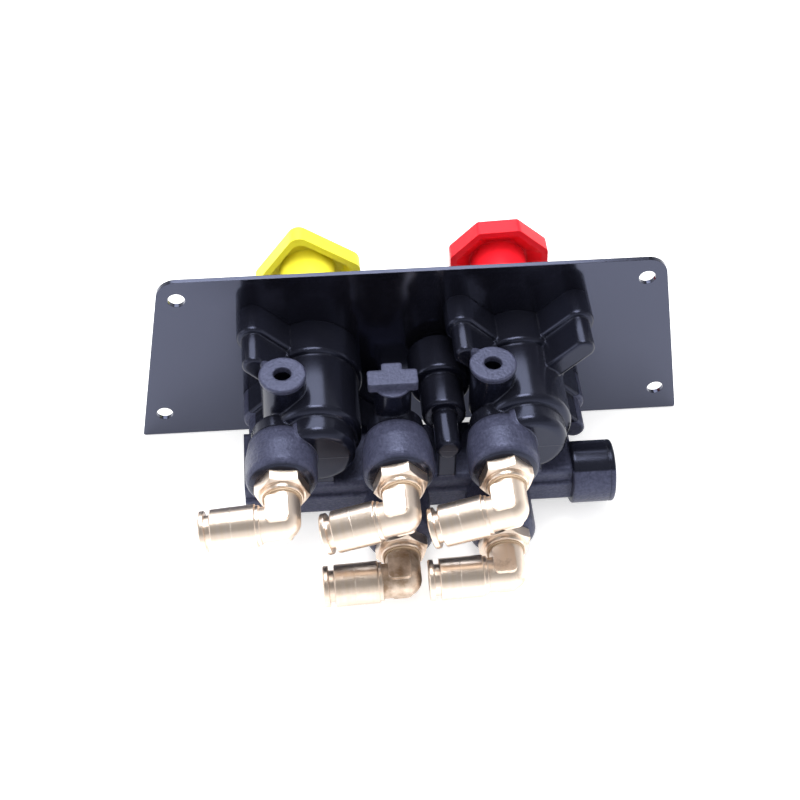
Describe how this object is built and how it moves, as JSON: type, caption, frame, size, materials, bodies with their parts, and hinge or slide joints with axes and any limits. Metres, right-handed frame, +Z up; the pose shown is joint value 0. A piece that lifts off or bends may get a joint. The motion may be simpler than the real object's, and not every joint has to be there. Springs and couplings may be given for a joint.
{
  "type": "dash control valve",
  "caption": "Air brake dash control valve: square and octagonal push-pull knobs on a tapered plate, moulded manifold body behind and brass push-in swivel elbows.",
  "frame": {"origin": "middle of the face plate's back face, midway between the two valve axes", "axes": "+X towards the square-knobbed parking valve, +Y from the plate back to the fittings, +Z up as the part lies in the picture"},
  "size_m": [0.2346, 0.16, 0.0894],
  "materials": {
    "plate_black": "gloss black paint",
    "body_black": "moulded black, slightly satin",
    "acetal_black": "machined black plastic",
    "acetal": "machined white plastic",
    "knob_yellow": "moulded gloss yellow",
    "knob_red": "moulded gloss red",
    "brass": "pale satin brass",
    "brass_dark": "tarnished satin brass",
    "steel": "zinc plated steel",
    "spring_steel": "spring steel",
    "rubber": "black nitrile",
    "ring_brown": "brown plastic"
  },
  "bodies": {
    "module": {"face_plate": "plate_black", "valve_body": "body_black", "plate_screws": "steel", "check_retainer": "body_black", "check_spring": "spring_steel", "gallery_plug": "brass", "gallery_seal": "rubber", "swivel_seals": "rubber", "dust_rings": "ring_brown", "parking_stem_guide": "acetal_black", "parking_stem_wiper": "rubber", "parking_inlet_seat": "brass", "parking_return_spring": "spring_steel", "trailer_stem_guide": "acetal_black", "trailer_stem_wiper": "rubber", "trailer_inlet_seat": "brass", "trailer_return_spring": "spring_steel", "adapter_left": "brass", "adapter_middle": "brass", "adapter_right": "brass", "adapter_lower_middle": "brass", "adapter_lower_right": "brass"},
    "parking_plunger": {"parking_knob": "knob_yellow", "parking_knob_pin": "steel", "parking_stem": "steel", "parking_piston": "acetal", "parking_piston_seals": "rubber", "parking_valve_disc": "rubber"},
    "trailer_plunger": {"trailer_knob": "knob_red", "trailer_knob_pin": "steel", "trailer_stem": "steel", "trailer_piston": "acetal", "trailer_piston_seals": "rubber", "trailer_valve_disc": "rubber"},
    "elbow_left": {"elbow_left": "brass", "grab_ring_left": "spring_steel", "tube_seal_left": "rubber"},
    "collet_left": {"collet_left": "brass"},
    "elbow_middle": {"elbow_middle": "brass", "grab_ring_middle": "spring_steel", "tube_seal_middle": "rubber"},
    "collet_middle": {"collet_middle": "brass"},
    "elbow_right": {"elbow_right": "brass", "grab_ring_right": "spring_steel", "tube_seal_right": "rubber"},
    "collet_right": {"collet_right": "brass"},
    "elbow_lower_middle": {"elbow_lower_middle": "brass_dark", "grab_ring_lower_middle": "spring_steel", "tube_seal_lower_middle": "rubber"},
    "collet_lower_middle": {"collet_lower_middle": "brass"},
    "elbow_lower_right": {"elbow_lower_right": "brass", "grab_ring_lower_right": "spring_steel", "tube_seal_lower_right": "rubber"},
    "collet_lower_right": {"collet_lower_right": "brass"},
    "check_poppet": {"check_poppet": "acetal"},
    "supply_shuttle": {"supply_shuttle": "acetal"}
  },
  "joints": [
    {"name": "parking_push", "type": "slide", "parent": "module", "child": "parking_plunger", "axis": [0, 1, 0], "range_m": [0, 0.0127], "stiffness_N_per_m": 900, "springref_m": -0.004, "deforming": ["parking_return_spring"]},
    {"name": "trailer_push", "type": "slide", "parent": "module", "child": "trailer_plunger", "axis": [0, 1, 0], "range_m": [0, 0.0127], "stiffness_N_per_m": 900, "springref_m": -0.004, "deforming": ["trailer_return_spring"]},
    {"name": "elbow_swivel_left", "type": "hinge", "parent": "module", "child": "elbow_left", "pos_m": [0.057, 0.0887, 0], "axis": [0, 1, 0], "range_deg": [-96, 84]},
    {"name": "collet_release_left", "type": "slide", "parent": "elbow_left", "child": "collet_left", "axis": [-0.9945, 0, 0.1045], "range_m": [0, 0.0015]},
    {"name": "elbow_swivel_middle", "type": "hinge", "parent": "module", "child": "elbow_middle", "pos_m": [0.011, 0.0887, 0], "axis": [0, 1, 0], "range_deg": [-106.5, 11.5]},
    {"name": "collet_release_middle", "type": "slide", "parent": "elbow_middle", "child": "collet_middle", "axis": [-0.9588, 0, 0.284], "range_m": [0, 0.0015]},
    {"name": "elbow_swivel_right", "type": "hinge", "parent": "module", "child": "elbow_right", "pos_m": [-0.0305, 0.0887, 0], "axis": [0, 1, 0], "range_deg": [-197, 11]},
    {"name": "collet_release_right", "type": "slide", "parent": "elbow_right", "child": "collet_right", "axis": [-0.9563, 0, 0.2924], "range_m": [0, 0.0015]},
    {"name": "elbow_swivel_lower_middle", "type": "hinge", "parent": "module", "child": "elbow_lower_middle", "pos_m": [0.011, 0.0957, -0.0315], "axis": [0, 1, 0], "range_deg": [-3, 87]},
    {"name": "collet_release_lower_middle", "type": "slide", "parent": "elbow_lower_middle", "child": "collet_lower_middle", "axis": [-0.9986, 0, 0.0523], "range_m": [0, 0.0015]},
    {"name": "elbow_swivel_lower_right", "type": "hinge", "parent": "module", "child": "elbow_lower_right", "pos_m": [-0.0305, 0.0957, -0.0315], "axis": [0, 1, 0], "range_deg": [-3, 177]},
    {"name": "collet_release_lower_right", "type": "slide", "parent": "elbow_lower_right", "child": "collet_lower_right", "axis": [-0.9986, 0, 0.0523], "range_m": [0, 0.0015]},
    {"name": "check_lift", "type": "slide", "parent": "module", "child": "check_poppet", "axis": [0, -1, 0], "range_m": [0, 0.0025], "stiffness_N_per_m": 120, "springref_m": -0.002, "deforming": ["check_spring"]},
    {"name": "shuttle_travel", "type": "slide", "parent": "module", "child": "supply_shuttle", "axis": [1, 0, 0], "range_m": [-0.004, 0.004]}
  ]
}
